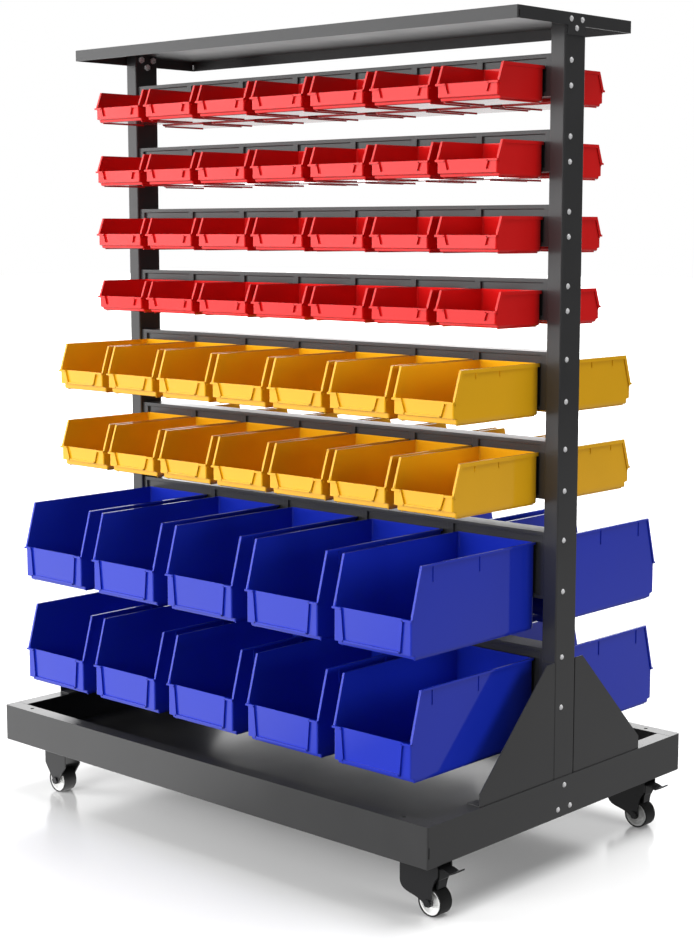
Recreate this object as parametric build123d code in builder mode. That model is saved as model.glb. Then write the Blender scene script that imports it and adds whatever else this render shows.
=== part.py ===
"""Mobile bin cart: a double-sided rack of open-front bins on a sheet-metal tray base with four casters.

Frame: X runs along the cart, -Y is the front, +Z is up, and the floor under the wheels is Z = 0.
The origin is at the middle of the cart on the floor. All sizes are in millimetres.
"""
import os
from math import cos, radians, sin, sqrt

from build123d import *

# Cart and frame
cart_length = 1000.0
cart_depth = 668.0
base_height = 93.0
wall_height = 64.0
sheet = 2.0
lip_width = 26.5
post_gap = 0.4
lip_seam = 0.8
lip_hole_radius = 3.5
lip_hole_inset = 58.0
lip_hole_edge = 15.0
slit_width = 2.0
slit_height = 17.0
slit_rise = 16.0
cart_height = 1331.0
shelf_depth = 289.0
shelf_flange = 19.0
shelf_tab_width = 44.0
shelf_tab_drop = 14.0
shelf_slit_height = 9.0
shelf_slit_rise = 3.0
fold_radius = 2.4
overrun = 10.0

# Posts
post_width = 27.0
post_depth = 52.0
post_corner = 2.5

# Gussets between each post and the tray's end
gusset_run = 180.0
gusset_rise = 187.0
gusset_top = 8.0
gusset_nose = 21.0
gusset_flange = 20.0
gusset_foot = 24.0
gusset_flange_gap = 4.0

# Rails: how far up each top is from the tray to the shelf, from the uppermost down
rail_depth = 42.0
rail_above_bolt = 11.0
rail_below_bolt = 14.5
rail_bolt_offset = 9.5
rail_border = 13.4
rail_rib = 12.0
rail_sheet = 1.5
rail_recess = 4.2
window_height = 14.0
small_rail_height = 63.0
medium_rail_height = 90.0
large_rail_height = 106.0
rail_top_shares = [0.95043, 0.85486, 0.75954, 0.66431, 0.56951, 0.45213, 0.3316, 0.17462]

# Bins: outer sizes over the rim, and the gap between neighbours
small_count = 7
small_pitch_share = 0.14119
small_gap = 14.4
small_depth = 115.0
small_height = 54.0
small_lip = 26.0
small_top = 101.0
small_notch = 6.0
small_step = 6.0
small_band = 5.4
medium_count = 7
medium_pitch_share = 0.14055
medium_gap = 13.2
medium_depth = 210.0
medium_height = 80.5
medium_lip = 34.5
medium_top = 191.5
medium_notch = 10.0
medium_step = 8.0
medium_band = 6.0
large_count = 5
large_pitch_share = 0.19915
large_gap = 31.0
large_depth = 298.0
large_height = 137.5
large_lip = 60.5
large_top = 273.5
large_notch = 8.0
large_step = 8.0
large_band = 3.4
bin_wall = 2.2
bin_rim = 3.2
bin_side_rim = 1.8
bin_lip_band = 3.2
bin_corner = 5.0
bin_drop = 17.5
bin_back_gap = 0.5
bin_rib = 2.0
bin_rib_share = 0.11
bin_rib_places_share = (0.22, 0.47, 0.74)
runner_width = 2.0
runner_height = 1.6
runner_inset = 5.0
holder_rib = 2.6
holder_top_share = 0.76
holder_bottom_share = 0.66
holder_base = 3.0
hook_share = 0.62
hook_thickness = 2.0
hook_lip = 6.0
hook_gap = 0.3
bin_seat = 0.3

# Fasteners
bolt_radius = 3.0
bolt_head_radius = 4.4
bolt_head_height = 2.6
bolt_clearance = 0.2
nut_across = 10.0
nut_height = 4.5
bolt_tail = 0.5
shelf_bolt_spread = 14.0
shelf_bolt_drop = 9.5
shelf_low_bolt_drop = 22.5
base_bolt_spread = 16.0
base_low_bolt_rise = 13.5
base_high_bolt_rise = 50.5

# Casters
wheel_radius_share = 0.241935
wheel_width = 27.0
tyre_thickness = 2.5
tyre_round = 1.5
hub_width = 24.0
hub_boss_radius = 7.0
hub_web = 6.0
hub_rim = 3.0
axle_radius = 4.0
axle_clearance = 0.05
axle_head = 3.0
axle_head_radius = 6.5
caster_side_inset = 61.0
swivel_inset = 62.0
rigid_inset = 83.5
trail = 25.8
plate_size = 64.0
plate_corner = 6.0
plate_thickness = 2.5
plate_hole_spread = 25.0
skirt_radius = 27.0
skirt_width = 2.5
skirt_drop = 4.0
kingpin_radius = 5.0
kingpin_head_radius = 8.0
kingpin_head = 2.0
kingpin_gap = 0.4
race_gap = 5.0
ball_radius = 2.2
ball_count = 16
ball_ring = 19.0
fork_thickness = 2.5
fork_gap = 1.5
fork_disc_radius = 29.0
fork_heel_drop_share = 0.39785
fork_heel_reach = 29.0
fork_toe_reach = 44.0
fork_toe_drop_share = 0.21505
leg_end_radius = 7.0
bracket_half = 28.0
bracket_shoulder = 39.0
brake_reach = 38.0
brake_height_share = 0.66667
brake_pin_radius = 2.5
brake_barrel_radius = 5.0
brake_travel_degrees = 15.0
shoe_gap = 0.5
shoe_width = 18.0
shoe_thickness = 4.0
pedal_width = 22.0
pedal_thickness = 2.5
pedal_top_share = 0.84946
pedal_bow_share = 0.80108
pedal_bow_reach = 62.0
pedal_tip_share = 0.86022
pedal_tip_reach = 73.0
pedal_crown = 1.5

# Places that follow from the sizes above
half_length = cart_length / 2
half_depth = cart_depth / 2
tray_top = base_height + wall_height
post_face = half_length - sheet
post_inner = post_face - post_width
post_middle = post_face - post_width / 2
post_foot = base_height + sheet
post_head = cart_height - sheet
wheel_radius = wheel_radius_share * base_height
caster_row = half_depth - caster_side_inset
swivel_place = half_length - swivel_inset
rigid_place = rigid_inset - half_length
brake_height = brake_height_share * base_height
pedal_top = pedal_top_share * base_height
pedal_bow = pedal_bow_share * base_height
pedal_tip = pedal_tip_share * base_height
leg_inner = wheel_width / 2 + fork_gap
leg_outer = leg_inner + fork_thickness
plate_bottom = base_height - plate_thickness
fork_top = plate_bottom - race_gap
bolt_hole = bolt_radius + bolt_clearance
hub_radius = wheel_radius - tyre_thickness
rail_half = rail_depth / 2
rail_length = 2 * post_inner
rail_tops = [tray_top + share * (cart_height - tray_top) for share in rail_top_shares]
bin_back = rail_half + bin_back_gap
small, medium, large = "small", "medium", "large"
row_kinds = [small, small, small, small, medium, medium, large, large]
rail_heights = {small: small_rail_height, medium: medium_rail_height, large: large_rail_height}
bin_counts = {small: small_count, medium: medium_count, large: large_count}
bin_pitches = {
    small: small_pitch_share * rail_length,
    medium: medium_pitch_share * rail_length,
    large: large_pitch_share * rail_length,
}
small_width = bin_pitches[small] - small_gap
medium_width = bin_pitches[medium] - medium_gap
large_width = bin_pitches[large] - large_gap
bin_heights = {small: small_height, medium: medium_height, large: large_height}
bin_colours = {small: "red", medium: "yellow", large: "blue"}

os.makedirs("parts", exist_ok=True)


def write(piece, name):
    """Label one finished piece and write it under its own name."""
    piece.label = name
    export_step(piece, f"parts/{name}.step")


def bin_places(kind):
    """X of each bin's middle along a rail."""
    count = bin_counts[kind]
    return [bin_pitches[kind] * (k - (count - 1) / 2) for k in range(count)]


def rail_bolt_heights(row):
    """The two bolt heights of one rail, the upper one first."""
    top = rail_tops[row]
    return [top - rail_above_bolt, top - rail_heights[row_kinds[row]] + rail_below_bolt]


all_rail_bolt_heights = [z for row in range(len(rail_tops)) for z in rail_bolt_heights(row)]
shelf_bolt_points = [
    (-shelf_bolt_spread, cart_height - shelf_bolt_drop),
    (shelf_bolt_spread, cart_height - shelf_bolt_drop),
    (0, cart_height - shelf_low_bolt_drop),
]
base_bolt_points = [
    (-base_bolt_spread, base_height + base_low_bolt_rise),
    (base_bolt_spread, base_height + base_low_bolt_rise),
    (0, base_height + base_high_bolt_rise),
]
sides = (-1, 1)
caster_places = {
    "right_front": (swivel_place, -caster_row),
    "right_rear": (swivel_place, caster_row),
    "left_front": (rigid_place, -caster_row),
    "left_rear": (rigid_place, caster_row),
}
caster_bolt_points = [
    (x + sx * plate_hole_spread, y + sy * plate_hole_spread)
    for x, y in caster_places.values()
    for sx in sides
    for sy in sides
]

# Base tray: one folded sheet with a floor, four walls and an inward lip round the top
with BuildPart() as base_tray:
    with BuildSketch(Plane.XY.offset(base_height)):
        Rectangle(cart_length, cart_depth)
    extrude(amount=wall_height)
    fillet(base_tray.edges().filter_by(Axis.Z), radius=fold_radius)
    fillet(base_tray.faces().sort_by(Axis.Z)[0].edges(), radius=fold_radius / 2)
    with BuildSketch(Plane.XY.offset(base_height + sheet)):
        Rectangle(cart_length - 2 * sheet, cart_depth - 2 * sheet)
    extrude(amount=wall_height - 2 * sheet, mode=Mode.SUBTRACT)
    with BuildSketch(Plane.XY.offset(tray_top - sheet)):
        Rectangle(cart_length - 2 * lip_width, cart_depth - 2 * lip_width)
    extrude(amount=sheet, mode=Mode.SUBTRACT)
    # the end lips butt against the long lips
    with BuildSketch(Plane.XY.offset(tray_top - sheet)):
        with Locations(
            *[
                (sx * (half_length - sheet - (lip_width - sheet) / 2), sy * (half_depth - lip_width))
                for sx in sides
                for sy in sides
            ]
        ):
            Rectangle(lip_width - sheet, lip_seam)
    extrude(amount=sheet, mode=Mode.SUBTRACT)
    with Locations(
        *[
            (sx * (half_length - lip_hole_inset), sy * (half_depth - lip_hole_edge), tray_top)
            for sx in sides
            for sy in sides
        ]
    ):
        Hole(radius=lip_hole_radius, depth=sheet)
    with BuildSketch(Plane.YZ):
        with Locations(
            *[
                (sy * (half_depth - sheet - slit_width / 2), base_height + slit_rise + slit_height / 2)
                for sy in sides
            ]
        ):
            Rectangle(slit_width, slit_height)
        with Locations(*base_bolt_points):
            Circle(bolt_hole)
    extrude(amount=half_length, both=True, mode=Mode.SUBTRACT)
    with Locations(*[(x, y, base_height + sheet) for x, y in caster_bolt_points]):
        Hole(radius=bolt_hole, depth=sheet)
    # the posts stand on the tray's floor and pass up through the end lips
    with BuildSketch(Plane.XY.offset(tray_top - sheet)):
        with Locations(*[(sx * post_middle, 0) for sx in sides]):
            Rectangle(post_width, post_depth + 2 * post_gap)
    extrude(amount=sheet, mode=Mode.SUBTRACT)
write(base_tray.part, "base_tray")

# Top shelf: an inverted shallow tray with a bolting tab at each post
with BuildPart() as top_shelf:
    with BuildSketch(Plane.XY.offset(cart_height - shelf_flange)):
        Rectangle(cart_length, shelf_depth)
    extrude(amount=shelf_flange)
    fillet(top_shelf.edges().filter_by(Axis.Z), radius=fold_radius)
    fillet(top_shelf.faces().sort_by(Axis.Z)[-1].edges(), radius=fold_radius / 2)
    with BuildSketch(Plane.XY.offset(cart_height - shelf_flange)):
        Rectangle(cart_length - 2 * sheet, shelf_depth - 2 * sheet)
    extrude(amount=shelf_flange - sheet, mode=Mode.SUBTRACT)
    with BuildSketch(Plane.XY.offset(cart_height - shelf_flange - shelf_tab_drop)):
        with Locations(*[(sx * (half_length - sheet / 2), 0) for sx in sides]):
            Rectangle(sheet, shelf_tab_width)
    extrude(amount=shelf_tab_drop)
    with BuildSketch(Plane.YZ):
        with Locations(
            *[
                (
                    sy * (shelf_depth / 2 - sheet - slit_width / 2),
                    cart_height - shelf_flange + shelf_slit_rise + shelf_slit_height / 2,
                )
                for sy in sides
            ]
        ):
            Rectangle(slit_width, shelf_slit_height)
        with Locations(*shelf_bolt_points):
            Circle(bolt_hole)
    extrude(amount=half_length, both=True, mode=Mode.SUBTRACT)
write(top_shelf.part, "top_shelf")

# Posts: two upright rectangular tubes, drilled for the shelf, the rails, the gussets and the tray
for side, sx in (("left", -1), ("right", 1)):
    with BuildPart() as post:
        with BuildSketch(Plane.XY.offset(post_foot)):
            with Locations((sx * post_middle, 0)):
                RectangleRounded(post_width, post_depth, post_corner)
        extrude(amount=post_head - post_foot)
        with BuildSketch(Plane.XY.offset(post_foot)):
            with Locations((sx * post_middle, 0)):
                Rectangle(post_width - 2 * sheet, post_depth - 2 * sheet)
        extrude(amount=post_head - post_foot, mode=Mode.SUBTRACT)
        with BuildSketch(Plane.YZ.offset(sx * post_face)):
            with Locations(*shelf_bolt_points, *base_bolt_points):
                Circle(bolt_hole)
            with Locations(*[(-rail_bolt_offset, z) for z in all_rail_bolt_heights]):
                Circle(bolt_hole)
        extrude(amount=-sx * post_width, mode=Mode.SUBTRACT)
    write(post.part, f"{side}_post")

# Rails: hollow folded channels with a web behind each face and a window in the face for each bin
for row, kind in enumerate(row_kinds):
    height = rail_heights[kind]
    top = rail_tops[row]
    with BuildPart() as rail:
        with BuildSketch(Plane.XY.offset(top - height)):
            Rectangle(rail_length, rail_depth)
        extrude(amount=height)
        fillet(rail.edges().filter_by(Axis.X), radius=rail_sheet)
        with BuildSketch(Plane.XY.offset(top - height + rail_sheet)):
            Rectangle(2 * (post_inner - sheet), 2 * (rail_half - rail_recess - rail_sheet))
            with Locations(*[(0, sy * (rail_half - (rail_sheet + rail_recess) / 2)) for sy in sides]):
                Rectangle(2 * (post_inner - sheet), rail_recess - rail_sheet)
        extrude(amount=height - 2 * rail_sheet, mode=Mode.SUBTRACT)
        for sy in sides:
            with BuildSketch(Plane.XZ.offset(-sy * rail_half)):
                with Locations(*[(x, top - rail_border - window_height / 2) for x in bin_places(kind)]):
                    Rectangle(bin_pitches[kind] - rail_rib, window_height)
            extrude(amount=sy * rail_sheet, mode=Mode.SUBTRACT)
        with BuildSketch(Plane.YZ):
            with Locations(*[(-rail_bolt_offset, z) for z in rail_bolt_heights(row)]):
                Circle(bolt_hole)
        extrude(amount=post_inner, both=True, mode=Mode.SUBTRACT)
    write(rail.part, f"rail_{row + 1}")

# Gussets: a triangular plate flush with the post's end face, with folded edges turned inward
gusset_start = post_depth / 2
gusset_end = gusset_start + gusset_run
gusset_slope_start = gusset_start + gusset_top
slope_length = sqrt((gusset_end - gusset_slope_start) ** 2 + (gusset_rise - gusset_nose) ** 2)
slope_y = (gusset_end - gusset_slope_start) / slope_length
slope_z = (gusset_rise - gusset_nose) / slope_length
for side, sx in (("left", -1), ("right", 1)):
    for end, sy in (("front", -1), ("rear", 1)):
        with BuildPart() as gusset:
            with BuildSketch(Plane.YZ.offset(sx * post_face)):
                with BuildLine():
                    Polyline(
                        (sy * gusset_start, tray_top),
                        (sy * gusset_end, tray_top),
                        (sy * gusset_end, tray_top + gusset_nose),
                        (sy * gusset_slope_start, tray_top + gusset_rise),
                        (sy * gusset_start, tray_top + gusset_rise),
                        close=True,
                    )
                make_face()
            extrude(amount=-sx * sheet)
            # sloping flange
            with BuildSketch(Plane.YZ.offset(sx * post_face)):
                with BuildLine():
                    Polyline(
                        (sy * (gusset_end - gusset_flange_gap * slope_y), tray_top + gusset_nose
                         + gusset_flange_gap * slope_z),
                        (sy * gusset_slope_start, tray_top + gusset_rise),
                        (sy * (gusset_slope_start - sheet * slope_z), tray_top + gusset_rise
                         - sheet * slope_y),
                        (sy * (gusset_end - gusset_flange_gap * slope_y - sheet * slope_z), tray_top
                         + gusset_nose + gusset_flange_gap * slope_z - sheet * slope_y),
                        close=True,
                    )
                make_face()
            extrude(amount=-sx * gusset_flange)
            # foot on the tray's lip, and the flange against the post
            with BuildSketch(Plane.XY.offset(tray_top)):
                with Locations((sx * (post_face - gusset_foot / 2), sy * (gusset_start + gusset_end) / 2)):
                    Rectangle(gusset_foot, gusset_run)
            extrude(amount=sheet)
            with BuildSketch(Plane.XY.offset(tray_top)):
                with Locations((sx * (post_face - gusset_foot / 2), sy * (gusset_start + sheet / 2))):
                    Rectangle(gusset_foot, sheet)
            extrude(amount=gusset_rise)
        write(gusset.part, f"gusset_{side}_{end}")

# Bins: each size is modelled once at its own origin, the middle of its back at its bottom,
# with its open front towards -Y, and then placed along the rails


def wall_outline(depth, height, lip, top, notch, step):
    """Side outline of a bin's body inside its rim, from the bottom of its back."""
    face = depth - bin_rim
    return [
        (0, 0),
        (-(face - step), 0),
        (-(face - step), notch),
        (-face, notch),
        (-face, lip),
        (-top, height),
        (0, height),
    ]


def hollow_outline(depth, height, lip, top, notch, step):
    """Side outline of the space inside a bin, open past its top and its slanting front."""
    face = depth - bin_rim - bin_wall
    return [
        (-bin_wall, bin_wall),
        (-(face - step), bin_wall),
        (-(face - step), notch + bin_wall),
        (-face, notch + bin_wall),
        (-face, lip + overrun),
        (-face, height + overrun),
        (-bin_wall, height + overrun),
    ]


def model_bin(width, depth, height, lip, top, notch, step, band):
    """One bin with its rim, label holder, ribs, runners and hanging hook."""
    body_half = width / 2 - bin_side_rim
    outline = wall_outline(depth, height, lip, top, notch, step)
    hollow = hollow_outline(depth, height, lip, top, notch, step)
    with BuildPart() as body:
        with BuildSketch(Plane.YZ):
            Polygon(*outline, align=None)
        extrude(amount=body_half, both=True)
        fillet(body.edges().filter_by(Axis.Z).group_by(Axis.Y)[-1], radius=bin_corner)
        fillet(body.faces().sort_by(Axis.Z)[0].edges().sort_by(Axis.Y)[-1], radius=bin_wall)
        with BuildSketch(Plane.YZ):
            Polygon(*hollow, align=None)
        extrude(amount=body_half - bin_wall, both=True, mode=Mode.SUBTRACT)
        # rim band outside the side walls, along the top and down the slant
        slant = sqrt((depth - bin_rim - top) ** 2 + (height - lip) ** 2)
        across = (height - lip) / slant
        down = (depth - bin_rim - top) / slant
        turn = (1 - down) / across
        with BuildSketch(Plane.YZ):
            Polygon(
                (0, height),
                (-top, height),
                (-(depth - bin_rim), lip),
                (-(depth - bin_rim) + band / across, lip),
                (-top + band * turn, height - band),
                (0, height - band),
                align=None,
            )
        extrude(amount=width / 2, both=True)
        with BuildSketch(Plane.YZ):
            Polygon(*hollow, align=None)
        extrude(amount=body_half - bin_wall, both=True, mode=Mode.SUBTRACT)
        # front lip, from each corner to the label holder
        half_top = holder_top_share * body_half
        lip_start = half_top - holder_rib
        with BuildSketch(Plane.XY.offset(lip - bin_lip_band)):
            with Locations(
                *[
                    (sx * (lip_start + width / 2) / 2, -(depth - (bin_rim + bin_wall) / 2))
                    for sx in sides
                ]
            ):
                Rectangle(width / 2 - lip_start, bin_rim + bin_wall)
        extrude(amount=bin_lip_band)
        # label holder: two slanting ribs and a bottom rib on the front
        rib_top = lip - bin_lip_band
        rib_bottom = notch + holder_base
        half_bottom = holder_bottom_share * body_half + (holder_top_share - holder_bottom_share) * (
            body_half * holder_base / rib_top
        )
        with BuildSketch(Plane.XZ.offset(depth - bin_rim)):
            with BuildLine():
                Polyline(
                    (-half_top, rib_top),
                    (-half_bottom, rib_bottom),
                    (half_bottom, rib_bottom),
                    (half_top, rib_top),
                    close=True,
                )
            make_face()
            with BuildLine():
                Polyline(
                    (-half_top + holder_rib, rib_top),
                    (-half_bottom + holder_rib, rib_bottom + holder_rib),
                    (half_bottom - holder_rib, rib_bottom + holder_rib),
                    (half_top - holder_rib, rib_top),
                    close=True,
                )
            make_face(mode=Mode.SUBTRACT)
        extrude(amount=bin_rim)
        # small upright ribs under the side rims
        rib_drop = bin_rib_share * height
        with BuildSketch(Plane.XY.offset(height - band - rib_drop)):
            with Locations(
                *[
                    (sx * (body_half + bin_side_rim / 4), -top * (1 - share))
                    for sx in sides
                    for share in bin_rib_places_share
                ]
            ):
                Rectangle(bin_side_rim / 2, bin_rib)
        extrude(amount=rib_drop)
        # runners under the floor
        runner_length = depth - bin_rim - step - 2 * runner_inset
        with BuildSketch():
            with Locations(
                *[
                    (sx * (body_half - runner_inset), -(depth - bin_rim - step) / 2)
                    for sx in sides
                ]
            ):
                Rectangle(runner_width, runner_length)
        extrude(amount=-runner_height)
        # hook that hangs in the rail's window
        window_sill = height + bin_drop - rail_border - window_height
        hook_reach = bin_back_gap + rail_sheet + hook_gap
        with BuildSketch(Plane.XY.offset(window_sill + bin_seat)):
            with Locations((0, (hook_reach + hook_thickness - bin_wall) / 2)):
                Rectangle(hook_share * width, hook_reach + hook_thickness + bin_wall)
        extrude(amount=hook_thickness)
        with BuildSketch(Plane.XY.offset(window_sill + bin_seat + hook_thickness)):
            with Locations((0, hook_reach + hook_thickness / 2)):
                Rectangle(hook_share * width, hook_thickness)
        extrude(amount=-(hook_lip + hook_thickness))
    return body.part


bin_shapes = {
    small: model_bin(
        small_width,
        small_depth,
        small_height,
        small_lip,
        small_top,
        small_notch,
        small_step,
        small_band,
    ),
    medium: model_bin(
        medium_width,
        medium_depth,
        medium_height,
        medium_lip,
        medium_top,
        medium_notch,
        medium_step,
        medium_band,
    ),
    large: model_bin(
        large_width,
        large_depth,
        large_height,
        large_lip,
        large_top,
        large_notch,
        large_step,
        large_band,
    ),
}


def bin_floor(row):
    """Height of the floor of the bins that hang in one row."""
    return rail_tops[row] - bin_drop - bin_heights[row_kinds[row]]


def front_place(row, x):
    """Where a bin hangs on the front of a rail."""
    return Location((x, -bin_back, bin_floor(row)))


def rear_place(row, x):
    """Where a bin hangs on the rear of a rail."""
    return Location((x, bin_back, bin_floor(row)), (0, 0, 180))


# One bin of each size is a piece of its own, at the right end of the lowest row of its size
lifting_rows = {small: 3, medium: 5, large: 7}
for kind in (small, medium, large):
    colour = bin_colours[kind]
    rows = [row for row, row_kind in enumerate(row_kinds) if row_kind == kind]
    places = [(row, x) for row in rows for x in bin_places(kind)]
    lifting = (lifting_rows[kind], bin_places(kind)[-1])
    with BuildPart() as lifting_bin:
        with Locations(front_place(*lifting)):
            add(bin_shapes[kind])
    write(lifting_bin.part, f"{colour}_bin_lifting")
    with BuildPart() as front_bins:
        with Locations(*[front_place(*place) for place in places if place != lifting]):
            add(bin_shapes[kind])
    write(front_bins.part, f"{colour}_bins_front")
    with BuildPart() as rear_bins:
        with Locations(*[rear_place(*place) for place in places]):
            add(bin_shapes[kind])
    write(rear_bins.part, f"{colour}_bins_rear")

# Fasteners: a round-headed bolt and a hexagon nut, pointing along +Z from the seat of the head


def model_bolt(grip):
    """Bolt with a domed head under Z = 0 and a shank through the stated grip and a nut."""
    with BuildPart() as bolt:
        with BuildSketch(Plane.XZ):
            with BuildLine():
                Line((0, -bolt_head_height), (0, grip + nut_height + bolt_tail))
                Line((0, grip + nut_height + bolt_tail), (bolt_radius, grip + nut_height + bolt_tail))
                Line((bolt_radius, grip + nut_height + bolt_tail), (bolt_radius, 0))
                Line((bolt_radius, 0), (bolt_head_radius, 0))
                RadiusArc(
                    (bolt_head_radius, 0),
                    (0, -bolt_head_height),
                    (bolt_head_radius**2 + bolt_head_height**2) / (2 * bolt_head_height),
                )
            make_face()
        revolve(axis=Axis.Z)
    return bolt.part


with BuildPart() as nut_body:
    with BuildSketch():
        RegularPolygon(nut_across / 2, 6, major_radius=False)
        Circle(bolt_radius, mode=Mode.SUBTRACT)
    extrude(amount=nut_height)
nut_shape = nut_body.part


def facing(x, y, z, direction):
    """Place whose +Z points along a given direction."""
    return Plane(origin=(x, y, z), z_dir=direction).location


def fasteners(name, shape, places):
    """Write one node that holds a set of like fasteners."""
    with BuildPart() as group:
        with Locations(*places):
            add(shape)
    write(group.part, name)


fasteners(
    "shelf_bolts",
    model_bolt(post_width + sheet),
    [facing(sx * half_length, y, z, (-sx, 0, 0)) for sx in sides for y, z in shelf_bolt_points],
)
fasteners(
    "base_bolts",
    model_bolt(post_width + sheet),
    [facing(sx * half_length, y, z, (-sx, 0, 0)) for sx in sides for y, z in base_bolt_points],
)
fasteners(
    "rail_bolts",
    model_bolt(post_width + sheet),
    [
        facing(sx * post_face, -rail_bolt_offset, z, (-sx, 0, 0))
        for sx in sides
        for z in all_rail_bolt_heights
    ],
)
fasteners(
    "frame_nuts",
    nut_shape,
    [
        facing(sx * post_inner, y, z, (-sx, 0, 0))
        for sx in sides
        for y, z in shelf_bolt_points + base_bolt_points
    ]
    + [
        facing(sx * (post_inner - sheet), -rail_bolt_offset, z, (-sx, 0, 0))
        for sx in sides
        for z in all_rail_bolt_heights
    ],
)
fasteners(
    "caster_bolts",
    model_bolt(sheet + plate_thickness),
    [facing(x, y, plate_bottom, (0, 0, 1)) for x, y in caster_bolt_points],
)
fasteners(
    "caster_nuts",
    nut_shape,
    [facing(x, y, base_height + sheet, (0, 0, 1)) for x, y in caster_bolt_points],
)

# Wheels: a moulded core with a recessed web, and a tyre round it, both on the Y axis


def wheel_core(x, y, name):
    """Write one wheel core, turning on the axle at the given place."""
    rim_half = hub_width / 2
    web_half = hub_web / 2
    with BuildPart() as core:
        with BuildSketch(Plane.XY.offset(wheel_radius)):
            with BuildLine():
                Polyline(
                    (x + axle_radius + axle_clearance, y - rim_half),
                    (x + hub_boss_radius, y - rim_half),
                    (x + hub_boss_radius + hub_rim, y - web_half),
                    (x + hub_radius - 2 * hub_rim, y - web_half),
                    (x + hub_radius - hub_rim, y - rim_half),
                    (x + hub_radius, y - rim_half),
                    (x + hub_radius, y + rim_half),
                    (x + hub_radius - hub_rim, y + rim_half),
                    (x + hub_radius - 2 * hub_rim, y + web_half),
                    (x + hub_boss_radius + hub_rim, y + web_half),
                    (x + hub_boss_radius, y + rim_half),
                    (x + axle_radius + axle_clearance, y + rim_half),
                    close=True,
                )
            make_face()
        revolve(axis=Axis((x, y, wheel_radius), (0, 1, 0)))
    write(core.part, name)


def wheel_tyre(x, y, name):
    """Write one tyre, with its edges rounded."""
    with BuildPart() as tyre:
        with BuildSketch(Plane.XZ.offset(-y)):
            with Locations((x, wheel_radius)):
                Circle(wheel_radius)
                Circle(hub_radius, mode=Mode.SUBTRACT)
        extrude(amount=wheel_width / 2, both=True)
        outer = tyre.edges().filter_by(GeomType.CIRCLE).group_by(lambda edge: edge.radius)[-1]
        fillet(outer, radius=tyre_round)
    write(tyre.part, name)


def model_axle(x, y):
    """Axle across both legs of a caster, with a hexagon head at each end."""
    with BuildPart() as axle:
        with BuildSketch(Plane.XZ.offset(-y)):
            with Locations((x, wheel_radius)):
                Circle(axle_radius)
        extrude(amount=leg_outer, both=True)
        for out in sides:
            with BuildSketch(Plane.XZ.offset(-y - out * leg_outer)):
                with Locations((x, wheel_radius)):
                    RegularPolygon(axle_head_radius, 6)
            extrude(amount=-out * axle_head)
    return axle.part


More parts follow.
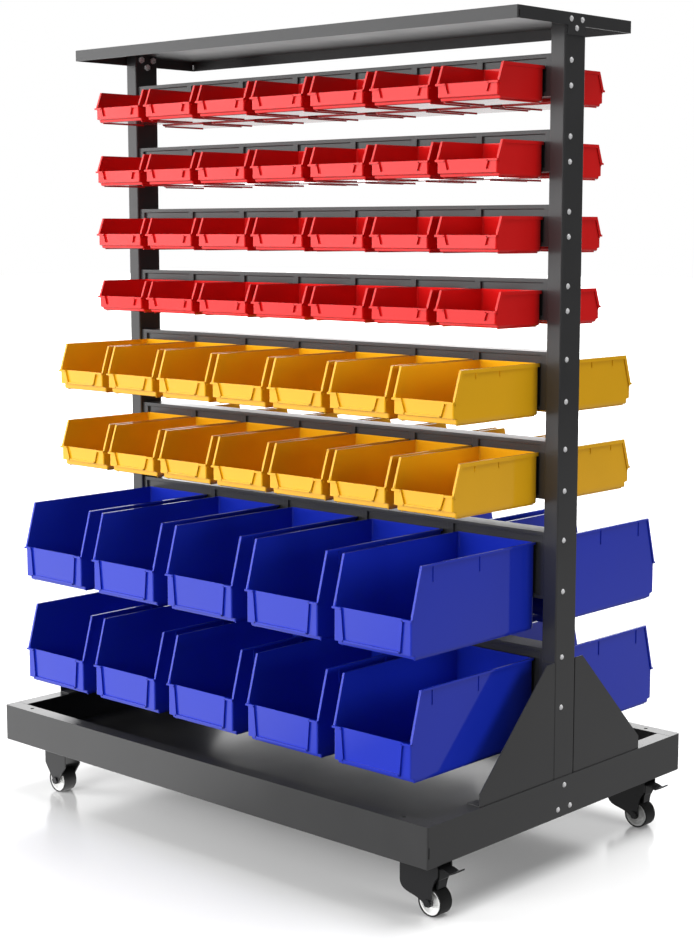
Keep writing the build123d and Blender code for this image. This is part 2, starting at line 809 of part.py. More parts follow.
# Swivel casters at the right end, each with a brake pedal
shoe_distance = sqrt((brake_reach - trail) ** 2 + (brake_height - wheel_radius) ** 2)
shoe_length = shoe_distance - wheel_radius - shoe_gap
for end in ("right_front", "right_rear"):
    x, y = caster_places[end]
    axle_x = x + trail
    pin_x = x + brake_reach

    with BuildPart() as plate:
        with BuildSketch(Plane.XY.offset(plate_bottom)):
            with Locations((x, y)):
                RectangleRounded(plate_size, plate_size, plate_corner)
            with Locations(
                *[(x + sx * plate_hole_spread, y + sy * plate_hole_spread) for sx in sides for sy in sides]
            ):
                Circle(bolt_hole, mode=Mode.SUBTRACT)
        extrude(amount=plate_thickness)
        with BuildSketch(Plane.XY.offset(plate_bottom)):
            with Locations((x, y)):
                Circle(skirt_radius)
                Circle(skirt_radius - skirt_width, mode=Mode.SUBTRACT)
        extrude(amount=-skirt_drop)
        with BuildSketch(Plane.XY.offset(plate_bottom)):
            with Locations((x, y)):
                Circle(kingpin_radius)
        extrude(amount=plate_thickness, mode=Mode.SUBTRACT)
    write(plate.part, f"caster_plate_{end}")

    # kingpin riveted in the plate, with its head under the fork
    kingpin_end = fork_top - fork_thickness - kingpin_gap
    with BuildPart() as kingpin:
        with BuildSketch(Plane.XY.offset(base_height)):
            with Locations((x, y)):
                Circle(kingpin_radius)
        extrude(amount=kingpin_end - base_height)
        with BuildSketch(Plane.XY.offset(kingpin_end)):
            with Locations((x, y)):
                Circle(kingpin_head_radius)
        extrude(amount=-kingpin_head)
    write(kingpin.part, f"kingpin_{end}")

    with BuildPart() as balls:
        with Locations((x, y, fork_top + race_gap / 2)):
            with PolarLocations(ball_ring, ball_count):
                Sphere(ball_radius)
    write(balls.part, f"swivel_balls_{end}")

    with BuildPart() as fork:
        with BuildSketch(Plane.XY.offset(fork_top)):
            with Locations((x, y)):
                Circle(fork_disc_radius)
            with Locations((x + fork_toe_reach / 2, y)):
                Rectangle(fork_toe_reach, 2 * leg_outer)
            with Locations((x, y)):
                Circle(kingpin_radius + axle_clearance, mode=Mode.SUBTRACT)
        extrude(amount=-fork_thickness)
        heel_z = fork_top - fork_heel_drop_share * base_height
        toe_z = fork_top - fork_toe_drop_share * base_height
        with BuildSketch(Plane.XZ.offset(-y)) as leg:
            with BuildLine():
                Line((x - fork_heel_reach, fork_top), (x - fork_heel_reach, heel_z))
                heel = Spline(
                    (x - fork_heel_reach, heel_z),
                    (x - fork_heel_reach / 4, wheel_radius + leg_end_radius),
                    (axle_x - leg_end_radius, wheel_radius - leg_end_radius / 2),
                    tangents=[(0, -1), (1, -1)],
                )
                Line(heel @ 1, (axle_x, wheel_radius))
                Line((axle_x, wheel_radius), (axle_x + leg_end_radius, wheel_radius))
                Spline(
                    (axle_x + leg_end_radius, wheel_radius),
                    (axle_x + leg_end_radius, wheel_radius + 2 * leg_end_radius),
                    (x + fork_toe_reach, toe_z),
                    tangents=[(0, 1), (1, 1)],
                )
                Line((x + fork_toe_reach, toe_z), (x + fork_toe_reach, fork_top))
                Line((x + fork_toe_reach, fork_top), (x - fork_heel_reach, fork_top))
            make_face()
            with Locations((axle_x, wheel_radius)):
                Circle(leg_end_radius)
        extrude(amount=leg_outer, both=True)
        with BuildSketch(Plane.XY):
            with Locations((axle_x, y)):
                Rectangle(4 * (fork_heel_reach + fork_toe_reach), 2 * leg_inner)
        extrude(amount=fork_top - fork_thickness, mode=Mode.SUBTRACT)
        with BuildSketch(Plane.XZ.offset(-y)):
            with Locations((axle_x, wheel_radius)):
                Circle(axle_radius)
            with Locations((pin_x, brake_height)):
                Circle(brake_pin_radius)
        extrude(amount=leg_outer, both=True, mode=Mode.SUBTRACT)
        with BuildSketch(Plane.XY.offset(fork_top)):
            with Locations((x, y)):
                Circle(kingpin_radius + axle_clearance)
        extrude(amount=-fork_thickness, mode=Mode.SUBTRACT)
    write(fork.part, f"caster_fork_{end}")

    write(model_axle(axle_x, y), f"caster_axle_{end}")
    with BuildPart() as brake_pin:
        with BuildSketch(Plane.XZ.offset(-y)):
            with Locations((pin_x, brake_height)):
                Circle(brake_pin_radius)
        extrude(amount=leg_outer, both=True)
    write(brake_pin.part, f"brake_pin_{end}")

    wheel_core(axle_x, y, f"wheel_core_{end}")
    wheel_tyre(axle_x, y, f"tyre_{end}")

    with BuildPart() as pedal:
        with BuildSketch(Plane.XZ.offset(-y)):
            with Locations((pin_x, brake_height)):
                Circle(brake_barrel_radius)
        extrude(amount=pedal_width / 2, both=True)
        # curved tread plate with a flat tip
        with BuildSketch(Plane.XZ.offset(-y)):
            with BuildLine():
                under = ThreePointArc(
                    (pin_x, pedal_top - pedal_thickness),
                    (
                        x + (pedal_bow_reach + brake_reach) / 2,
                        (pedal_top + pedal_bow) / 2 + pedal_crown - pedal_thickness,
                    ),
                    (x + pedal_bow_reach, pedal_bow - pedal_thickness),
                )
                Polyline(
                    under @ 1,
                    (x + pedal_tip_reach, pedal_tip - pedal_thickness),
                    (x + pedal_tip_reach, pedal_tip),
                    (x + pedal_bow_reach, pedal_bow),
                )
                ThreePointArc(
                    (x + pedal_bow_reach, pedal_bow),
                    (
                        x + (pedal_bow_reach + brake_reach) / 2,
                        (pedal_top + pedal_bow) / 2 + pedal_crown,
                    ),
                    (pin_x, pedal_top),
                )
                Line((pin_x, pedal_top), (pin_x, pedal_top - pedal_thickness))
            make_face()
        extrude(amount=pedal_width / 2, both=True)
        with BuildSketch(Plane.XZ.offset(-y)):
            with Locations((pin_x + brake_barrel_radius / 2, (brake_height + pedal_top) / 2 - pedal_thickness / 2)):
                Rectangle(brake_barrel_radius, pedal_top - brake_height)
        extrude(amount=pedal_width / 2, both=True)
        # brake shoe that comes down on the tyre
        with BuildSketch(Plane.XZ.offset(-y)):
            lean = radians(brake_travel_degrees)
            to_wheel = Vector(trail - brake_reach, wheel_radius - brake_height).normalized()
            shoe_way = Vector(
                to_wheel.X * cos(lean) - to_wheel.Y * sin(lean),
                to_wheel.X * sin(lean) + to_wheel.Y * cos(lean),
            )
            shoe_end = Vector(pin_x, brake_height) + shoe_way * (shoe_length - shoe_thickness / 2)
            with Locations((shoe_end.X, shoe_end.Y)):
                Circle(shoe_thickness / 2)
            with BuildLine():
                across_way = Vector(-shoe_way.Y, shoe_way.X) * (shoe_thickness / 2)
                start = Vector(pin_x, brake_height)
                Polyline(
                    start + across_way,
                    shoe_end + across_way,
                    shoe_end - across_way,
                    start - across_way,
                    close=True,
                )
            make_face()
        extrude(amount=shoe_width / 2, both=True)
        with BuildSketch(Plane.XZ.offset(-y)):
            with Locations((pin_x, brake_height)):
                Circle(brake_pin_radius + axle_clearance)
        extrude(amount=pedal_width, both=True, mode=Mode.SUBTRACT)
    write(pedal.part, f"brake_pedal_{end}")

# Rigid casters at the left end
for end in ("left_front", "left_rear"):
    x, y = caster_places[end]
    shoulder_z = plate_bottom - bracket_shoulder
    with BuildPart() as bracket:
        with BuildSketch(Plane.XY.offset(plate_bottom)):
            with Locations((x, y)):
                RectangleRounded(plate_size, plate_size, plate_corner)
            with Locations(
                *[(x + sx * plate_hole_spread, y + sy * plate_hole_spread) for sx in sides for sy in sides]
            ):
                Circle(bolt_hole, mode=Mode.SUBTRACT)
        extrude(amount=plate_thickness)
        with BuildSketch(Plane.XZ.offset(-y)):
            with BuildLine():
                Polyline(
                    (x - bracket_half, plate_bottom),
                    (x - bracket_half, shoulder_z),
                    (x - leg_end_radius, wheel_radius),
                    (x + leg_end_radius, wheel_radius),
                    (x + bracket_half, shoulder_z),
                    (x + bracket_half, plate_bottom),
                    close=True,
                )
            make_face()
            with Locations((x, wheel_radius)):
                Circle(leg_end_radius)
        extrude(amount=leg_outer, both=True)
        with BuildSketch(Plane.XY):
            with Locations((x, y)):
                Rectangle(2 * plate_size, 2 * leg_inner)
        extrude(amount=plate_bottom, mode=Mode.SUBTRACT)
        with BuildSketch(Plane.XZ.offset(-y)):
            with Locations((x, wheel_radius)):
                Circle(axle_radius)
        extrude(amount=leg_outer, both=True, mode=Mode.SUBTRACT)
    write(bracket.part, f"caster_bracket_{end}")

    write(model_axle(x, y), f"caster_axle_{end}")

    wheel_core(x, y, f"wheel_core_{end}")
    wheel_tyre(x, y, f"tyre_{end}")
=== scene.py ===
"""Studio scene of a double-sided mobile bin cart.

The tray, shelf, posts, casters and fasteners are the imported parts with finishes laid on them. The
bins are modelled here once for each size and copied along the rails, and the rails and the gussets
are modelled in their folded form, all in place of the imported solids. Lengths are in metres, X runs
along the cart, -Y is its front and +Z is up.
"""
import logging
from dataclasses import dataclass, field
from enum import Enum
from math import hypot, radians
from typing import Callable, Sequence

import bpy
from mathutils import Matrix, Vector


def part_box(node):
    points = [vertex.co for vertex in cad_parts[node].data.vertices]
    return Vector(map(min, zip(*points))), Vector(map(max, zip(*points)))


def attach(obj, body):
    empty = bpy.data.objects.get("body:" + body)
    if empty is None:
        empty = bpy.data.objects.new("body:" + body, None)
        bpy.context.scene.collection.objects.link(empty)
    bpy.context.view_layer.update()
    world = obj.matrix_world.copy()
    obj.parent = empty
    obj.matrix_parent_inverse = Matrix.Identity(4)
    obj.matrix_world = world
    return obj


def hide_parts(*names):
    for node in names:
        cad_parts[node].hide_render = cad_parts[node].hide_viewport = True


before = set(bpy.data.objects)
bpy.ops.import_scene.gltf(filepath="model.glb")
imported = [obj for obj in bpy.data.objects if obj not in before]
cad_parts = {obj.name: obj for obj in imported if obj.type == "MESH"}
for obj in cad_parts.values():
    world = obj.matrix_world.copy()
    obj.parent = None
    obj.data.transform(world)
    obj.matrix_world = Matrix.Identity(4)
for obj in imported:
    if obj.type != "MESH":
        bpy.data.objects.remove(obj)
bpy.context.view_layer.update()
LOG = logging.getLogger("bin_cart")
NOISE_RANGE = (0.3, 0.7)  # the middle range of a noise pattern
SHARP_ANGLE = radians(40)  # an edge that turns by more is rounded and shaded as an edge
FACING = 0.9  # least cosine between a face's normal and the direction it is picked by

Colour = tuple[float, float, float]
Point = tuple[float, float, float]
Span = tuple[float, float]


# Finishes


class MaterialNodes:
    """A new node material with a Principled shader, and short ways to add what feeds it."""

    def __init__(self, name: str) -> None:
        """Make the material.

        Args:
            name: Name of the finish.
        """
        self.material = bpy.data.materials.new(name)
        self.material.use_nodes = True
        self.tree = self.material.node_tree
        self.shader = self.tree.nodes["Principled BSDF"]
        self.coords = self.add("ShaderNodeTexCoord")

    def add(self, kind: str, **values: object) -> bpy.types.Node:
        """Add a node and set its inputs.

        Args:
            kind: The node's type name.
            values: Input values by socket name, with underscores for spaces.

        Returns:
            The new node.
        """
        node = self.tree.nodes.new(kind)
        for key, value in values.items():
            node.inputs[key.replace("_", " ")].default_value = value
        return node

    def link(self, source: bpy.types.NodeSocket, target: bpy.types.NodeSocket) -> None:
        """Link one socket to another."""
        self.tree.links.new(source, target)

    def noise(self, scale: float, detail: float = 2.0, rough: float = 0.5) -> bpy.types.NodeSocket:
        """Add a noise pattern on the object's own coordinates.

        Args:
            scale: Pattern scale, in features to the metre.
            detail: Octaves of the noise.
            rough: Weight of the finer octaves.

        Returns:
            The noise factor's socket.
        """
        node = self.add("ShaderNodeTexNoise", Scale=scale, Detail=detail, Roughness=rough)
        self.link(self.coords.outputs["Object"], node.inputs["Vector"])
        return node.outputs["Fac"]

    def spread(self, factor: bpy.types.NodeSocket, low: float, high: float) -> bpy.types.NodeSocket:
        """Map a factor's middle range on to two limits.

        Args:
            factor: The socket to map.
            low: Value at the range's low end.
            high: Value at its high end.

        Returns:
            The mapped socket.
        """
        node = self.add("ShaderNodeMapRange")
        node.inputs["From Min"].default_value, node.inputs["From Max"].default_value = NOISE_RANGE
        node.inputs["To Min"].default_value = low
        node.inputs["To Max"].default_value = high
        self.link(factor, node.inputs["Value"])
        return node.outputs["Result"]

    def tint(self, factor: bpy.types.NodeSocket, dark: Colour, light: Colour) -> None:
        """Colour the shader between two shades.

        Args:
            factor: What mixes the shades.
            dark: Shade at factor 0.
            light: Shade at factor 1.
        """
        ramp = self.add("ShaderNodeValToRGB")
        for stop, place, colour in zip(ramp.color_ramp.elements, NOISE_RANGE, (dark, light)):
            stop.position = place
            stop.color = (*colour, 1.0)
        self.link(factor, ramp.inputs["Fac"])
        self.link(ramp.outputs["Color"], self.shader.inputs["Base Color"])

    def bump(self, height: bpy.types.NodeSocket, distance: float, strength: float) -> None:
        """Roughen the shader's surface.

        Args:
            height: The height pattern.
            distance: Relief in metres.
            strength: How much of it shows.
        """
        node = self.add("ShaderNodeBump", Strength=strength, Distance=distance)
        self.link(height, node.inputs["Height"])
        self.link(node.outputs["Normal"], self.shader.inputs["Normal"])

    def constant(self, **values: float) -> None:
        """Set plain values on the shader's own sockets."""
        for key, value in values.items():
            self.shader.inputs[key.replace("_", " ")].default_value = value


def shade(colour: Colour, gain: float) -> Colour:
    """Lighten or darken a colour.

    Args:
        colour: The colour to change.
        gain: Its multiplier.

    Returns:
        The changed colour, held within 1.
    """
    red, green, blue = (min(1.0, channel * gain) for channel in colour)
    return red, green, blue


@dataclass(frozen=True)
class Finish:
    """A finish that shows as one material."""

    name: str
    colour: Colour
    roughness: float = 0.4
    metallic: float = 0.0
    variation: float = 0.1
    patch_scale: float = 6.0
    grain_scale: float = 900.0
    grain_relief: float = 0.00006
    grain_strength: float = 0.3
    roughness_spread: float = 0.06
    specular: float = 0.5
    coat: float = 0.0
    coat_roughness: float = 0.1

    def build(self) -> bpy.types.Material:
        """Make the finish's material.

        Returns:
            The new material.
        """
        nodes = MaterialNodes(self.name)
        patches = nodes.noise(self.patch_scale, detail=4.0)
        grain = nodes.noise(self.grain_scale, detail=3.0, rough=0.6)
        dark, light = (shade(self.colour, 1 + way * self.variation) for way in (-1, 1))
        nodes.tint(patches, dark, light)
        rough = nodes.spread(
            patches, self.roughness - self.roughness_spread, self.roughness + self.roughness_spread
        )
        nodes.link(rough, nodes.shader.inputs["Roughness"])
        nodes.bump(grain, self.grain_relief, self.grain_strength)
        nodes.constant(
            Metallic=self.metallic,
            Specular_IOR_Level=self.specular,
            Coat_Weight=self.coat,
            Coat_Roughness=self.coat_roughness,
        )
        return nodes.material


class Paint(Enum):
    """Every finish on the cart, under the record's slot name."""

    FRAME = ("frame_coat", Finish("charcoal_powder_coat", (0.040, 0.040, 0.041), roughness=0.38,
                                  grain_scale=1400.0, grain_relief=0.00008, grain_strength=0.3,
                                  specular=0.35, coat=0.5, coat_roughness=0.16))
    RED = ("red_plastic", Finish("red_moulded_plastic", (0.74, 0.008, 0.008), roughness=0.5,
                                 variation=0.04, grain_scale=500.0, grain_strength=0.1,
                                 specular=0.2, coat=1.0, coat_roughness=0.06))
    YELLOW = ("yellow_plastic", Finish("yellow_moulded_plastic", (0.90, 0.46, 0.008), roughness=0.5,
                                       variation=0.04, grain_scale=500.0, grain_strength=0.1,
                                       specular=0.2, coat=1.0, coat_roughness=0.06))
    BLUE = ("blue_plastic", Finish("blue_moulded_plastic", (0.010, 0.030, 0.50), roughness=0.5,
                                   variation=0.04, grain_scale=500.0, grain_strength=0.1,
                                   specular=0.2, coat=1.0, coat_roughness=0.06))
    ZINC = ("zinc_fastener", Finish("zinc_plate", (0.90, 0.90, 0.91), roughness=0.3, metallic=0.35,
                                    variation=0.08, patch_scale=140.0, grain_scale=2500.0,
                                    grain_relief=0.00003))
    CASTER = ("caster_steel", Finish("black_coated_steel", (0.012, 0.012, 0.013), roughness=0.34,
                                     grain_scale=1600.0, grain_strength=0.25))
    STEEL = ("bright_steel", Finish("turned_steel", (0.62, 0.62, 0.64), roughness=0.24,
                                    metallic=1.0, variation=0.08, patch_scale=180.0,
                                    grain_scale=3000.0, grain_relief=0.00002))
    HUB = ("wheel_plastic", Finish("pale_wheel_plastic", (0.92, 0.92, 0.91), roughness=0.38,
                                   variation=0.04, patch_scale=60.0, grain_scale=1500.0))
    TYRE = ("tyre", Finish("black_tyre_rubber", (0.012, 0.012, 0.012), roughness=0.55,
                           variation=0.2, patch_scale=90.0, grain_scale=1800.0,
                           grain_relief=0.0001, grain_strength=0.5))
    PEDAL = ("pedal_steel", Finish("black_pedal_steel", (0.016, 0.016, 0.017), roughness=0.3,
                                   grain_scale=1600.0, grain_strength=0.25))

    @property
    def slot(self) -> str:
        """The record's material slot."""
        return self.value[0]

    @property
    def finish(self) -> Finish:
        """The finish itself."""
        return self.value[1]


class PaintShop:
    """Keeps one material for each finish, and lays it on pieces."""

    def __init__(self) -> None:
        """Build every material."""
        self.materials = {paint: paint.finish.build() for paint in Paint}

    def coat(self, obj: bpy.types.Object, paint: Paint) -> None:
        """Give a piece one finish all over.

        Args:
            obj: The piece.
            paint: Its finish.
        """
        if not obj.material_slots:
            obj.data.materials.append(self.materials[paint])
        for place in obj.material_slots:
            place.material = self.materials[paint]


# Modelling aids


def deselect_all() -> None:
    """Leave object mode with nothing selected."""
    if bpy.context.object and bpy.context.object.mode != "OBJECT":
        bpy.ops.object.mode_set(mode="OBJECT")
    bpy.ops.object.select_all(action="DESELECT")


def make_active(obj: bpy.types.Object) -> None:
    """Select one object alone and make it active."""
    deselect_all()
    obj.select_set(True)
    bpy.context.view_layer.objects.active = obj


def add_block(name: str, low: Point, high: Point) -> bpy.types.Object:
    """Add a block between two corners, with its place in its mesh.

    Args:
        name: The block's name.
        low: Its lowest corner.
        high: Its highest corner.

    Returns:
        The new object.
    """
    deselect_all()
    corner, size = Vector(low), Vector(high) - Vector(low)
    bpy.ops.mesh.primitive_cube_add(size=1.0, location=corner + size / 2, scale=size)
    block = bpy.context.object
    block.name = name
    bpy.ops.object.transform_apply(location=True, rotation=True, scale=True)
    return block


def pick(
    obj: bpy.types.Object,
    test: Callable[[Vector], bool],
    normal: Vector | None = None,
    mode: str = "FACE",
) -> None:
    """Select faces, edges or points of an object by their place and enter edit mode.

    Args:
        obj: The object to edit.
        test: Says whether a place belongs; every point of a face or edge has to.
        normal: Where given, the direction that a chosen face looks in.
        mode: VERT, EDGE or FACE.
    """
    make_active(obj)
    bpy.ops.object.mode_set(mode="EDIT")
    bpy.ops.mesh.select_mode(type=mode)
    bpy.ops.mesh.select_all(action="DESELECT")
    bpy.ops.object.mode_set(mode="OBJECT")
    mesh = obj.data
    chosen = [test(vertex.co) for vertex in mesh.vertices]
    if mode == "VERT":
        for vertex, keep in zip(mesh.vertices, chosen):
            vertex.select = keep
    elif mode == "EDGE":
        for edge in mesh.edges:
            edge.select = all(chosen[i] for i in edge.vertices)
    else:
        for face in mesh.polygons:
            face.select = all(chosen[i] for i in face.vertices) and (
                normal is None or face.normal.dot(normal) > FACING
            )
    bpy.ops.object.mode_set(mode="EDIT")


def finish_edit() -> None:
    """Go back to object mode."""
    bpy.ops.object.mode_set(mode="OBJECT")


def join(parts: Sequence[bpy.types.Object], name: str) -> bpy.types.Object:
    """Join several objects into one.

    Args:
        parts: The objects; the first one stays.
        name: Name of the joined object.

    Returns:
        The joined object.
    """
    deselect_all()
    for part in parts:
        part.select_set(True)
    bpy.context.view_layer.objects.active = parts[0]
    bpy.ops.object.join()
    parts[0].name = name
    parts[0].data.name = name
    return parts[0]


def apply_modifier(obj: bpy.types.Object, kind: str, **settings: object) -> None:
    """Add a modifier, set it and apply it.

    Args:
        obj: The object.
        kind: The modifier's type.
        settings: Its settings by name.
    """
    make_active(obj)
    modifier = obj.modifiers.new(kind.lower(), kind)
    for key, value in settings.items():
        setattr(modifier, key, value)
    bpy.ops.object.modifier_apply(modifier=modifier.name)


def cut(
    body: bpy.types.Object, at: Point, normal: Point, clear: bool = True, fill: bool = False
) -> None:
    """Cut an object with a plane.

    Args:
        body: The object.
        at: A point of the plane.
        normal: The plane's direction.
        clear: Whether what lies beyond the plane is removed.
        fill: Whether the cut is closed with a face.
    """
    make_active(body)
    bpy.ops.object.mode_set(mode="EDIT")
    bpy.ops.mesh.select_all(action="SELECT")
    bpy.ops.mesh.bisect(plane_co=at, plane_no=normal, clear_outer=clear, use_fill=fill)
    finish_edit()


def soften(body: bpy.types.Object, width: float) -> None:
    """Round an object's sharp edges a little and smooth its shading.

    Args:
        body: The object.
        width: Width of the rounding.
    """
    apply_modifier(
        body,
        "BEVEL",
        width=width,
        segments=2,
        limit_method="ANGLE",
        angle_limit=SHARP_ANGLE,
        use_clamp_overlap=True,
    )
    make_active(body)
    bpy.ops.object.shade_smooth_by_angle(angle=SHARP_ANGLE)
    apply_modifier(body, "WEIGHTED_NORMAL", mode="FACE_AREA", weight=50, keep_sharp=True)


# The bins


class BinSize(Enum):
    """The three moulds."""

    SMALL = "red"
    MEDIUM = "yellow"
    LARGE = "blue"


@dataclass(frozen=True)
class BinMould:
    """One size of bin, with its origin at the middle of its back at its floor.

    It opens towards -Y. Heights are from its floor and depths from its back.

    Attributes:
        width: Overall width, over the side rims.
        depth: Overall depth, over the front rim.
        height: Height of the back and of the level part of the sides.
        lip: Height of the front wall.
        top: Depth at which the sides begin to slant down to the front.
        notch: Height of the set-back foot of the front wall.
        step: How far that foot is set back.
        pitch: Distance between neighbours along a rail.
        count: Bins on one side of a rail.
        rows: The rails that carry this size, counted from the top.
        lifting_row: The rail whose last front bin lifts off.
        band: Height of the side rims.
        wall: Wall thickness.
        rim: How far the front rim stands out forwards.
        side_rim_width: How far the side rims stand out sideways.
        lip_band: Height of the front rim.
        back_corner: Rounding of the upright back corners.
        front_corner: Rounding of the upright front corners.
        floor_round: Rounding round the floor.
        soften: Rounding of every remaining edge.
        holder_rib: Width of the label holder's ribs.
        holder_top_share: Place of the holder's sides at the top, as a share of the half width.
        holder_bottom_share: Their place at the bottom, as a share of the half width.
        holder_base: Height of the holder's foot above the notch.
        holder_foot: Whether a rib runs along the holder's foot.
        rib_share: Length of the upright side ribs, as a share of the height.
        rib_places: Where they stand, as shares of the level part from its front end.
        rib: Thickness of the upright side ribs.
        rib_reach: How far they stand out.
        runner: Width of the runners under the floor.
        runner_drop: Depth of the runners.
        runner_inset: How far they lie inside the walls.
        hook_share: Width of the hook, as a share of the bin's.
        hook_thickness: Thickness of the hook.
        hook_reach: Gap between the back and the hook's lip.
        hook_lip: Height of the hook's lip.
        sill_drop: How far the sill that the hook hangs on lies below the bin's top.
        seat: Gap that the hook keeps above the sill.
        touch: Tolerance when points are picked by their place.
    """

    width: float
    depth: float
    height: float
    lip: float
    top: float
    notch: float
    step: float
    pitch: float
    count: int
    rows: tuple[int, ...]
    lifting_row: int
    band: float
    wall: float = 0.0022
    rim: float = 0.0032
    side_rim_width: float = 0.0018
    lip_band: float = 0.0032
    back_corner: float = 0.005
    front_corner: float = 0.0025
    floor_round: float = 0.003
    soften: float = 0.0005
    holder_rib: float = 0.0026
    holder_top_share: float = 0.75
    holder_bottom_share: float = 0.62
    holder_base: float = 0.0008
    holder_foot: bool = True
    rib_share: float = 0.11
    rib_places: tuple[float, ...] = (0.22, 0.47, 0.74)
    rib: float = 0.002
    rib_reach: float = 0.0014
    runner: float = 0.002
    runner_drop: float = 0.0016
    runner_inset: float = 0.005
    hook_share: float = 0.62
    hook_thickness: float = 0.002
    hook_reach: float = 0.0023
    hook_lip: float = 0.006
    sill_drop: float = 0.0099
    seat: float = 0.0003
    touch: float = 0.0001

    @property
    def half(self) -> float:
        """Half the body's width inside its rims."""
        return self.width / 2 - self.side_rim_width

    @property
    def face(self) -> float:
        """Distance from the back to the front wall's outer face."""
        return self.depth - self.rim

    def shell(self) -> bpy.types.Object:
        """Model the thin-walled body, open at the top and down its slanting front.

        Returns:
            The body.
        """
        near = self.touch
        body = add_block("shell", (-self.half, -self.face, 0.0), (self.half, 0.0, self.height))
        pick(body, lambda p: p.z > self.height - near, Vector((0, 0, 1)))
        bpy.ops.mesh.delete(type="FACE")
        finish_edit()
        for corner_y, radius in ((0.0, self.back_corner), (-self.face, self.front_corner)):
            for side in (-1, 1):
                pick(
                    body,
                    lambda p: abs(p.y - corner_y) < near and abs(p.x - side * self.half) < near,
                    mode="EDGE",
                )
                bpy.ops.mesh.bevel(offset=radius, segments=3, affect="EDGES")
                finish_edit()
        pick(body, lambda p: p.z < near, mode="EDGE")
        bpy.ops.mesh.bevel(offset=self.floor_round, segments=2, affect="EDGES")
        finish_edit()
        cut(body, (0, -self.top, self.height), (0, -(self.height - self.lip), self.face - self.top))
        for level in (self.notch, self.notch - self.rim / 2):
            cut(body, (0, 0, level), (0, 0, 1), clear=False)
        pick(
            body,
            lambda p: p.z < self.notch - self.rim / 4 and p.y < -(self.face - self.step),
            mode="VERT",
        )
        bpy.ops.transform.translate(value=(0, self.step, 0))
        bpy.ops.mesh.select_all(action="SELECT")
        bpy.ops.mesh.remove_doubles(threshold=self.touch / 2)
        bpy.ops.mesh.normals_make_consistent(inside=False)
        finish_edit()
        apply_modifier(body, "SOLIDIFY", thickness=self.wall, offset=-1.0, use_even_offset=True)
        return body

    def side_rim(self, side: int) -> bpy.types.Object:
        """Model the rim along one side's top edge and down its slant.

        Args:
            side: 1 for the right side, -1 for the left.

        Returns:
            The rim.
        """
        inner, outer = sorted((side * (self.half - self.wall / 2), side * self.width / 2))
        bar = add_block(
            "side_rim",
            (inner, -self.top, self.height - self.band),
            (outer, 0.0, self.height),
        )
        run, fall = self.face - self.top, self.height - self.lip
        turn = (1 - run / hypot(run, fall)) / (fall / hypot(run, fall))
        pick(
            bar,
            lambda p: p.y < -self.top + self.touch and p.z < self.height - self.touch,
            mode="VERT",
        )
        bpy.ops.transform.translate(value=(0, self.band * turn, 0))
        finish_edit()
        pick(bar, lambda p: p.y < -self.top + self.band * turn + self.touch)
        bpy.ops.mesh.extrude_region_move(TRANSFORM_OT_translate={"value": (0, -run, -fall)})
        finish_edit()
        return bar

    def front_lip(self, side: int) -> bpy.types.Object:
        """Model the part of the front lip between the label holder and one corner."""
        start = self.holder_top_share * self.half - self.holder_rib
        low_x, high_x = sorted((side * start, side * self.width / 2))
        return add_block(
            "front_lip",
            (low_x, -self.depth, self.lip - self.lip_band),
            (high_x, -(self.face - self.wall), self.lip),
        )

    def holder(self) -> list[bpy.types.Object]:
        """Model the label holder: two slanting ribs and, on the larger bins, one along their feet.

        Returns:
            The ribs.
        """
        base = self.notch + self.holder_base
        top = self.holder_top_share * self.half
        foot = self.holder_bottom_share * self.half
        ribs = []
        for side in (-1, 1):
            low_x, high_x = sorted((side * top, side * (top - self.holder_rib)))
            rib = add_block(
                "holder_side",
                (low_x, -self.depth, base),
                (high_x, -(self.face - self.wall / 2), self.lip - self.lip_band / 2),
            )
            pick(rib, lambda p: p.z < base + self.touch, mode="VERT")
            bpy.ops.transform.translate(value=(-side * (top - foot), 0, 0))
            finish_edit()
            ribs.append(rib)
        if self.holder_foot:
            ribs.append(
                add_block(
                    "holder_foot",
                    (-foot, -self.depth, base),
                    (foot, -(self.face - self.wall / 2), base + self.holder_rib),
                )
            )
        return ribs

    def small_parts(self) -> list[bpy.types.Object]:
        """Model the upright ribs under the rims, the runners and the hook.

        Returns:
            The parts.
        """
        under_rim = self.height - self.band
        parts = []
        for side in (-1, 1):
            for share in self.rib_places:
                low_x, high_x = sorted(
                    (side * (self.half - self.wall / 2), side * (self.half + self.rib_reach))
                )
                y = -self.top * (1 - share)
                rib = add_block(
                    "upright_rib",
                    (low_x, y - self.rib / 2, under_rim - self.rib_share * self.height),
                    (high_x, y + self.rib / 2, under_rim + self.band / 2),
                )
                parts.append(rib)
            x = side * (self.half - self.runner_inset)
            front = -(self.face - self.step - self.runner_inset)
            parts.append(
                add_block(
                    "runner",
                    (x - self.runner / 2, front, -self.runner_drop),
                    (x + self.runner / 2, -self.runner_inset, self.wall / 2),
                )
            )
        half_hook = self.hook_share * self.width / 2
        sill = self.height - self.sill_drop + self.seat
        parts.append(
            add_block(
                "hook_top",
                (-half_hook, -self.wall / 2, sill),
                (half_hook, self.hook_reach + self.hook_thickness, sill + self.hook_thickness),
            )
        )
        parts.append(
            add_block(
                "hook_lip",
                (-half_hook, self.hook_reach, sill - self.hook_lip),
                (half_hook, self.hook_reach + self.hook_thickness, sill + self.hook_thickness / 2),
            )
        )
        return parts

    def model(self, name: str) -> bpy.types.Object:
        """Model one whole bin.

        Args:
            name: Name of the object.

        Returns:
            The bin.
        """
        parts = [self.shell()]
        for side in (-1, 1):
            parts += [self.side_rim(side), self.front_lip(side)]
        parts += self.holder() + self.small_parts()
        whole = join(parts, name)
        soften(whole, self.soften)
        return whole


